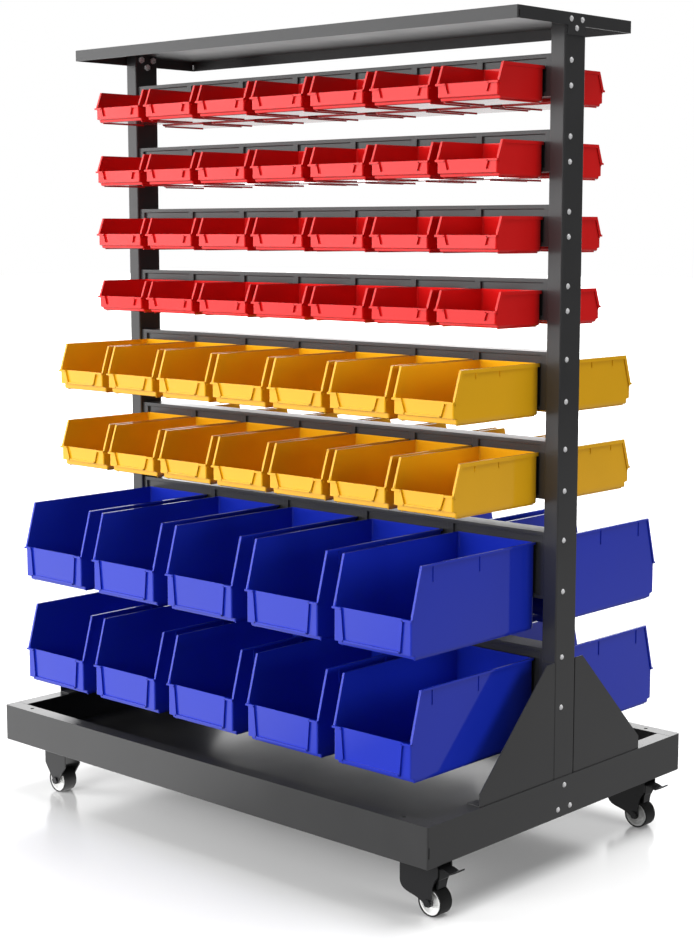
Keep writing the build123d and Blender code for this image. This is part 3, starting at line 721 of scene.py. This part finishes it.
@dataclass
class BinSet:
    """All the bins: how they stand along the rails, and which node each stands for.

    Attributes:
        drop: How far a bin's top lies below its rail's.
        back: Distance from the cart's middle plane to the bins' backs.
        moulds: The three sizes.
        paints: The finish of each size.
    """

    drop: float = 0.0175
    back: float = 0.0215
    moulds: dict[BinSize, BinMould] = field(
        default_factory=lambda: {
            BinSize.SMALL: BinMould(
                width=0.1186, depth=0.115, height=0.054, lip=0.026, top=0.101,
                notch=0.006, step=0.006, pitch=0.133, count=7, rows=(1, 2, 3, 4), lifting_row=4,
                band=0.0054,
                holder_top_share=0.74, holder_bottom_share=0.67, holder_base=0.005,
                holder_foot=False, rib_places=(),
            ),
            BinSize.MEDIUM: BinMould(
                width=0.1192, depth=0.210, height=0.0805, lip=0.0345, top=0.1915,
                notch=0.010, step=0.008, pitch=0.1324, count=7, rows=(5, 6), lifting_row=6,
                band=0.006,
                rib_places=(0.19, 0.49),
            ),
            BinSize.LARGE: BinMould(
                width=0.1566, depth=0.298, height=0.1375, lip=0.0605, top=0.2735,
                notch=0.008, step=0.008, pitch=0.1876, count=5, rows=(7, 8), lifting_row=8,
                band=0.0034,
                holder_top_share=0.81, holder_bottom_share=0.75, rib_share=0.17,
                rib_places=(0.10, 0.50),
            ),
        }
    )
    paints: dict[BinSize, Paint] = field(
        default_factory=lambda: {
            BinSize.SMALL: Paint.RED,
            BinSize.MEDIUM: Paint.YELLOW,
            BinSize.LARGE: Paint.BLUE,
        }
    )

    def places(self, mould: BinMould, rear: bool) -> list[tuple[int, int, Matrix]]:
        """Work out where one size's bins hang on one side.

        Args:
            mould: The size.
            rear: Whether it is the rear side.

        Returns:
            Row, number in the row and placing matrix of each bin.
        """
        found = []
        for row in mould.rows:
            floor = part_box(f"rail_{row}")[1].z - self.drop - mould.height
            for number in range(mould.count):
                x = mould.pitch * (number - (mould.count - 1) / 2)
                y = self.back if rear else -self.back
                turn = Matrix.Rotation(radians(180 if rear else 0), 4, "Z")
                found.append((row, number, Matrix.Translation((x, y, floor)) @ turn))
        return found

    @staticmethod
    def copies(master: bpy.types.Object, places: Sequence[Matrix], name: str) -> bpy.types.Object:
        """Copy a master bin to several places and join the copies.

        Args:
            master: The bin at its own origin.
            places: Where the copies go.
            name: Name of the joined piece.

        Returns:
            The piece, with its place in its mesh.
        """
        made = []
        for place in places:
            copy = master.copy()
            copy.data = master.data.copy()
            bpy.context.collection.objects.link(copy)
            copy.data.transform(place)
            made.append(copy)
        if len(made) > 1:
            return join(made, name)
        made[0].name = name
        return made[0]

    def build(self, shop: PaintShop) -> None:
        """Model every bin, paint it and let it ride on its body.

        Args:
            shop: What lays the finishes on.
        """
        for size, mould in self.moulds.items():
            colour, paint = size.value, self.paints[size]
            master = mould.model(f"{colour}_master")
            front = self.places(mould, rear=False)
            lifting = (mould.lifting_row, mould.count - 1)
            groups = {
                f"{colour}_bins_front": [m for row, n, m in front if (row, n) != lifting],
                f"{colour}_bins_rear": [m for _, _, m in self.places(mould, rear=True)],
                f"{colour}_bin_lifting": [m for row, n, m in front if (row, n) == lifting],
            }
            for node, places in groups.items():
                piece = self.copies(master, places, f"moulded_{node}")
                shop.coat(piece, paint)
                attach(piece, f"{colour}_bin" if node.endswith("lifting") else "cart")
                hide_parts(node)
                LOG.info("%s: %d bins, %d faces", piece.name, len(places), len(piece.data.polygons))
            bpy.data.objects.remove(master)


# The rails and the gussets


@dataclass
class Rails:
    """The rails' folded form: a border and ribs around a sunk panel behind each bin.

    Attributes:
        border: Height of the plain band above and below the panels.
        rib: Width of the ribs between the panels.
        recess: How deep the panels lie.
        soften: Rounding of the edges.
        touch: Tolerance when points are picked by their place.
    """

    border: float = 0.0065
    rib: float = 0.012
    recess: float = 0.004
    soften: float = 0.0008
    touch: float = 0.0001

    def model(self, row: int, mould: BinMould) -> bpy.types.Object:
        """Model one rail.

        Args:
            row: Its row, from the top down.
            mould: The bins that hang on it.

        Returns:
            The rail.
        """
        low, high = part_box(f"rail_{row}")
        rail = add_block(f"folded_rail_{row}", low, high)
        bottom, top = low.z + self.border, high.z - self.border
        half = (mould.pitch - self.rib) / 2
        panels = [mould.pitch * (k - (mould.count - 1) / 2) for k in range(mould.count)]
        for level in (bottom, top):
            cut(rail, (0, 0, level), (0, 0, 1), clear=False)
        for middle in panels:
            for edge in (middle - half, middle + half):
                cut(rail, (edge, 0, 0), (1, 0, 0), clear=False)
        for facing in (-1, 1):
            for middle in panels:
                pick(
                    rail,
                    lambda p: abs(p.x - middle) < half + self.touch
                    and bottom - self.touch < p.z < top + self.touch,
                    Vector((0, facing, 0)),
                )
                bpy.ops.mesh.extrude_region_move(
                    TRANSFORM_OT_translate={"value": (0, -facing * self.recess, 0)}
                )
                finish_edit()
        soften(rail, self.soften)
        return rail

    def build(self, shop: PaintShop, moulds: dict[BinSize, BinMould]) -> None:
        """Model and paint every rail.

        Args:
            shop: What lays the finishes on.
            moulds: The bins' moulds, which say what hangs on each rail.
        """
        for mould in moulds.values():
            for row in mould.rows:
                piece = self.model(row, mould)
                shop.coat(piece, Paint.FRAME)
                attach(piece, "cart")
                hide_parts(f"rail_{row}")
                LOG.info("%s: %d faces", piece.name, len(piece.data.polygons))


@dataclass
class Gussets:
    """The plates that brace the posts on the tray, each with a foot and a flange on its post.

    Attributes:
        sheet: Thickness of the sheet.
        top: Length of the level top edge.
        nose: Height of the upright edge at the foot's end.
        past_box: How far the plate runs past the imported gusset, away from its post.
        soften: Rounding of the edges.
    """

    sheet: float = 0.002
    top: float = 0.021
    nose: float = 0.021
    past_box: float = 0.005
    soften: float = 0.0005

    @staticmethod
    def sheet_block(name: str, x: Span, y: Span, z: Span) -> bpy.types.Object:
        """Add a block from its two ends along each axis.

        Args:
            name: The block's name.
            x: Its ends along X, in either order.
            y: Its ends along Y.
            z: Its ends along Z.

        Returns:
            The new object.
        """
        spans = (x, y, z)
        low, high = (tuple(end(span) for span in spans) for end in (min, max))
        return add_block(name, low, high)

    def model(self, end: str, face: str) -> bpy.types.Object:
        """Model one gusset.

        Args:
            end: left or right.
            face: front or rear.

        Returns:
            The gusset.
        """
        low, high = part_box(f"gusset_{end}_{face}")
        outer = high.x if end == "right" else low.x
        inward = -1 if end == "right" else 1
        inner = low.x if end == "right" else high.x
        away = -1 if face == "front" else 1
        start, stop = (high.y, low.y) if face == "front" else (low.y, high.y)
        stop += away * self.past_box
        plate = self.sheet_block(
            "plate", (outer, outer + inward * self.sheet), (start, stop), (low.z, high.z)
        )
        run, fall = abs(stop - start) - self.top, high.z - low.z - self.nose
        cut(plate, (0, stop, low.z + self.nose), (0, away * fall, run), fill=True)
        foot = self.sheet_block("foot", (outer, inner), (start, stop), (low.z, low.z + self.sheet))
        flange = self.sheet_block(
            "flange", (outer, inner), (start, start + away * self.sheet), (low.z, high.z)
        )
        whole = join([plate, foot, flange], f"plain_gusset_{end}_{face}")
        soften(whole, self.soften)
        return whole

    def build(self, shop: PaintShop) -> None:
        """Model and paint the four gussets.

        Args:
            shop: What lays the finishes on.
        """
        for end in ("left", "right"):
            for face in ("front", "rear"):
                piece = self.model(end, face)
                shop.coat(piece, Paint.FRAME)
                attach(piece, "cart")
                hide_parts(f"gusset_{end}_{face}")
                LOG.info("%s: %d faces", piece.name, len(piece.data.polygons))


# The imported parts


@dataclass
class CarriedParts:
    """The CAD parts that keep their shape and only get a finish."""

    paints: dict[str, Paint] = field(
        default_factory=lambda: {
            "base_tray": Paint.FRAME,
            "top_shelf": Paint.FRAME,
            "left_post": Paint.FRAME,
            "right_post": Paint.FRAME,
            "rail_bolts": Paint.ZINC,
            "shelf_bolts": Paint.ZINC,
            "base_bolts": Paint.ZINC,
            "frame_nuts": Paint.ZINC,
            "caster_bolts": Paint.ZINC,
            "caster_nuts": Paint.ZINC,
            "caster_plate": Paint.CASTER,
            "caster_fork": Paint.CASTER,
            "caster_bracket": Paint.CASTER,
            "caster_axle": Paint.CASTER,
            "brake_pin": Paint.CASTER,
            "kingpin": Paint.STEEL,
            "swivel_balls": Paint.STEEL,
            "wheel_core": Paint.HUB,
            "tyre": Paint.TYRE,
            "brake_pedal": Paint.PEDAL,
        }
    )

    def paint_of(self, node: str) -> Paint | None:
        """Find a node's finish.

        Args:
            node: The node's name.

        Returns:
            The finish of the longest name that the node's begins with, or None.
        """
        names = [name for name in self.paints if node.startswith(name)]
        return self.paints[max(names, key=len)] if names else None

    def build(self, shop: PaintShop) -> None:
        """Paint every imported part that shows.

        Args:
            shop: What lays the finishes on.
        """
        for node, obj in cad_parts.items():
            paint = self.paint_of(node)
            if paint is None:
                continue
            shop.coat(obj, paint)
            LOG.info("%s: %s", node, paint.finish.name)


# The studio


@dataclass(frozen=True)
class GlossSide:
    """A bright side of the studio, as glossy surfaces show it.

    Attributes:
        direction: Where it lies, from the cart.
        start: Cosine of the angle to it at which the brightness begins.
        full: Cosine of the angle to it at which the brightness is full.
        sky: Full brightness of the backdrop.
        floor: Full brightness of the floor.
    """

    direction: Point
    start: float
    full: float
    sky: float
    floor: float


@dataclass
class Studio:
    """Floor, light and camera.

    Attributes:
        floor_size: Side of the floor.
        floor_albedo: The floor's own colour.
        floor_glow: What the camera sees added to the floor, near the cart and far from it.
        floor_glow_ends: The distances between which that changes.
        floor_bounce: Brightness of the floor as other surfaces are lit by it.
        floor_roughness: The floor's roughness.
        floor_specular: How strongly the floor mirrors the cart.
        ambient: Brightness of the world as surfaces are lit by it.
        gloss_dark: Brightness of the studio in gloss, away from its bright sides.
        gloss_sides: The bright sides as gloss shows them.
        near_floor: Least brightness of the floor under and round the cart, in gloss.
        near_floor_ends: The distances between which that fades.
        camera_place: The camera's place.
        camera_yaw: Its turn about Z, in degrees.
        camera_pitch: Its tilt, in degrees.
        camera_clip: Its nearest and farthest distances.
        focal_pixels: Its focal length, in pixels of the photograph.
        picture_height: The photograph's height, in pixels.
        sensor: The sensor's longer side, in millimetres.
        sun_strength: Strength of the broad light from above.
        sun_angle: Its width, in degrees.
        sun_lean: Direction that it comes from.
        lamps: Name, place, aim, size and power of each lamp.
    """

    floor_size: float = 60.0
    floor_albedo: float = 0.92
    floor_glow: Span = (0.04, 0.6)
    floor_glow_ends: Span = (1.4, 6.0)
    floor_bounce: float = 0.1
    floor_roughness: float = 0.16
    floor_specular: float = 0.3
    ambient: float = 0.26
    gloss_dark: float = 0.05
    gloss_sides: tuple[GlossSide, ...] = (
        GlossSide((-0.78, -0.60, 0.20), start=0.64, full=0.95, sky=2.1, floor=1.4),
        GlossSide((-0.70, 0.70, 0.10), start=0.68, full=0.94, sky=2.3, floor=0.9),
    )
    near_floor: float = 0.34
    near_floor_ends: Span = (2.0, 8.0)
    camera_place: Point = (2.0973, -2.2398, 1.0119)
    camera_yaw: float = 42.65
    camera_pitch: float = -7.70
    camera_clip: Span = (0.05, 100.0)
    focal_pixels: float = 1789.1
    picture_height: float = 942.0
    sensor: float = 36.0
    sun_strength: float = 2.4
    sun_angle: float = 42.0
    sun_lean: Point = (0.16, 0.3, 1.0)
    lamps: tuple[tuple[str, Point, Point, float, float], ...] = (
        ("left_panel", (-3.6, -2.7, 1.3), (0.0, -0.2, 0.7), 2.4, 130.0),
        ("front_panel", (-0.2, -5.0, 1.7), (0.0, 0.0, 0.65), 3.0, 210.0),
        ("side_panel", (4.8, 0.6, 1.6), (0.0, 0.0, 0.6), 2.4, 78.0),
    )

    def lay_floor(self) -> None:
        """Lay a pale floor that keeps the cart's shadow and a faint reflection."""
        deselect_all()
        bpy.ops.mesh.primitive_plane_add(size=self.floor_size)
        floor = bpy.context.object
        floor.name = "studio_floor"
        nodes = MaterialNodes("pale_floor")
        tree, shader = nodes.tree, nodes.shader
        nodes.constant(Roughness=self.floor_roughness, Specular_IOR_Level=self.floor_specular)
        shader.inputs["Base Color"].default_value = (*[self.floor_albedo] * 3, 1.0)
        path = nodes.add("ShaderNodeLightPath")
        glow = nodes.add("ShaderNodeEmission")
        seen = nodes.add("ShaderNodeAddShader")
        nodes.link(shader.outputs[0], seen.inputs[0])
        nodes.link(glow.outputs[0], seen.inputs[1])
        place = nodes.coords.outputs["Object"]
        mirrored = self.gloss_level(tree, place, [side.floor for side in self.gloss_sides])
        distance = nodes.add("ShaderNodeVectorMath")
        distance.operation = "LENGTH"
        nodes.link(place, distance.inputs[0])
        far_glow = self.fade(nodes, distance, self.floor_glow_ends, self.floor_glow)
        nodes.link(far_glow, glow.inputs["Strength"])
        near = self.fade(nodes, distance, self.near_floor_ends, (self.near_floor, 0.0))
        brighter = nodes.add("ShaderNodeMath")
        brighter.operation = "MAXIMUM"
        nodes.link(near, brighter.inputs[0])
        nodes.link(mirrored, brighter.inputs[1])
        mirrored = brighter.outputs[0]
        level = nodes.add("ShaderNodeMix")
        level.inputs["A"].default_value = self.floor_bounce
        nodes.link(path.outputs["Is Glossy Ray"], level.inputs["Factor"])
        nodes.link(mirrored, level.inputs["B"])
        bounce = nodes.add("ShaderNodeEmission")
        nodes.link(level.outputs["Result"], bounce.inputs["Strength"])
        both = nodes.add("ShaderNodeMixShader")
        nodes.link(path.outputs["Is Camera Ray"], both.inputs[0])
        nodes.link(bounce.outputs[0], both.inputs[1])
        nodes.link(seen.outputs[0], both.inputs[2])
        output = next(node for node in tree.nodes if node.type == "OUTPUT_MATERIAL")
        nodes.link(both.outputs[0], output.inputs["Surface"])
        floor.data.materials.append(nodes.material)

    @staticmethod
    def fade(
        nodes: MaterialNodes, distance: bpy.types.Node, ends: Span, levels: Span
    ) -> bpy.types.NodeSocket:
        """Change a level evenly between two distances from the cart.

        Args:
            nodes: The material's nodes.
            distance: The node that measures the distance.
            ends: The two distances.
            levels: The level at each.

        Returns:
            The level's socket.
        """
        fade = nodes.add("ShaderNodeMapRange")
        fade.inputs["From Min"].default_value, fade.inputs["From Max"].default_value = ends
        fade.inputs["To Min"].default_value, fade.inputs["To Max"].default_value = levels
        nodes.link(distance.outputs["Value"], fade.inputs["Value"])
        return fade.outputs["Result"]

    def gloss_level(
        self, tree: bpy.types.NodeTree, place: bpy.types.NodeSocket, levels: Sequence[float]
    ) -> bpy.types.NodeSocket:
        """Work out how bright the studio is in a direction, as gloss shows it.

        Args:
            tree: The node tree to add to.
            place: The direction, or a place of the floor as seen from the cart.
            levels: Full brightness of each bright side.

        Returns:
            The level's socket.
        """
        unit = tree.nodes.new("ShaderNodeVectorMath")
        unit.operation = "NORMALIZE"
        tree.links.new(place, unit.inputs[0])
        total = None
        for side, full in zip(self.gloss_sides, levels):
            along = tree.nodes.new("ShaderNodeVectorMath")
            along.operation = "DOT_PRODUCT"
            along.inputs[1].default_value = Vector(side.direction).normalized()
            tree.links.new(unit.outputs[0], along.inputs[0])
            level = tree.nodes.new("ShaderNodeMapRange")
            level.interpolation_type = "SMOOTHSTEP"
            level.inputs["From Min"].default_value = side.start
            level.inputs["From Max"].default_value = side.full
            level.inputs["To Min"].default_value = self.gloss_dark
            level.inputs["To Max"].default_value = full
            tree.links.new(along.outputs["Value"], level.inputs["Value"])
            if total is None:
                total = level.outputs["Result"]
                continue
            brighter = tree.nodes.new("ShaderNodeMath")
            brighter.operation = "MAXIMUM"
            tree.links.new(total, brighter.inputs[0])
            tree.links.new(level.outputs["Result"], brighter.inputs[1])
            total = brighter.outputs[0]
        return total

    def light(self) -> None:
        """Set up the world and the lamps."""
        world = bpy.data.worlds.new("studio_world")
        bpy.context.scene.world = world
        world.use_nodes = True
        tree = world.node_tree
        back = tree.nodes["Background"]
        back.inputs["Color"].default_value = (1.0, 1.0, 1.0, 1.0)
        coords = tree.nodes.new("ShaderNodeTexCoord")
        levels = [side.sky for side in self.gloss_sides]
        mirrored = self.gloss_level(tree, coords.outputs["Generated"], levels)
        path = tree.nodes.new("ShaderNodeLightPath")
        either = tree.nodes.new("ShaderNodeMath")
        either.operation = "MAXIMUM"
        tree.links.new(path.outputs["Is Glossy Ray"], either.inputs[0])
        tree.links.new(path.outputs["Is Transmission Ray"], either.inputs[1])
        unseen = tree.nodes.new("ShaderNodeMix")
        unseen.inputs["A"].default_value = self.ambient
        tree.links.new(either.outputs[0], unseen.inputs["Factor"])
        tree.links.new(mirrored, unseen.inputs["B"])
        level = tree.nodes.new("ShaderNodeMix")
        level.inputs["B"].default_value = 1.0
        tree.links.new(path.outputs["Is Camera Ray"], level.inputs["Factor"])
        tree.links.new(unseen.outputs["Result"], level.inputs["A"])
        tree.links.new(level.outputs["Result"], back.inputs["Strength"])
        data = bpy.data.lights.new("sky", "SUN")
        data.energy = self.sun_strength
        data.angle = radians(self.sun_angle)
        sun = bpy.data.objects.new("sky", data)
        sun.rotation_mode = "QUATERNION"
        sun.rotation_quaternion = Vector(self.sun_lean).to_track_quat("Z", "Y")
        sun.visible_glossy = False
        bpy.context.collection.objects.link(sun)
        for name, place, aim, size, power in self.lamps:
            data = bpy.data.lights.new(name, "AREA")
            data.shape = "DISK"
            data.size = size
            data.energy = power
            lamp = bpy.data.objects.new(name, data)
            lamp.location = place
            lamp.rotation_mode = "QUATERNION"
            lamp.rotation_quaternion = (Vector(aim) - Vector(place)).to_track_quat("-Z", "Y")
            lamp.visible_glossy = False
            bpy.context.collection.objects.link(lamp)

    def place_camera(self) -> None:
        """Put the camera where the photograph was taken from."""
        data = bpy.data.cameras.new("camera")
        data.sensor_width = self.sensor
        data.lens = self.focal_pixels / self.picture_height * self.sensor
        data.clip_start, data.clip_end = self.camera_clip
        camera = bpy.data.objects.new("camera", data)
        camera.location = self.camera_place
        camera.rotation_euler = (radians(90 + self.camera_pitch), 0.0, radians(self.camera_yaw))
        bpy.context.collection.objects.link(camera)
        bpy.context.scene.camera = camera

    def build(self) -> None:
        """Build the whole studio."""
        bpy.context.scene.view_settings.view_transform = "Standard"
        self.lay_floor()
        self.light()
        self.place_camera()


def main() -> None:
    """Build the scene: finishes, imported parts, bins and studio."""
    logging.basicConfig(level=logging.INFO, format="%(name)s: %(message)s")
    shop = PaintShop()
    CarriedParts().build(shop)
    bins = BinSet()
    bins.build(shop)
    Rails().build(shop, bins.moulds)
    Gussets().build(shop)
    Studio().build()


if __name__ == "__main__":
    main()
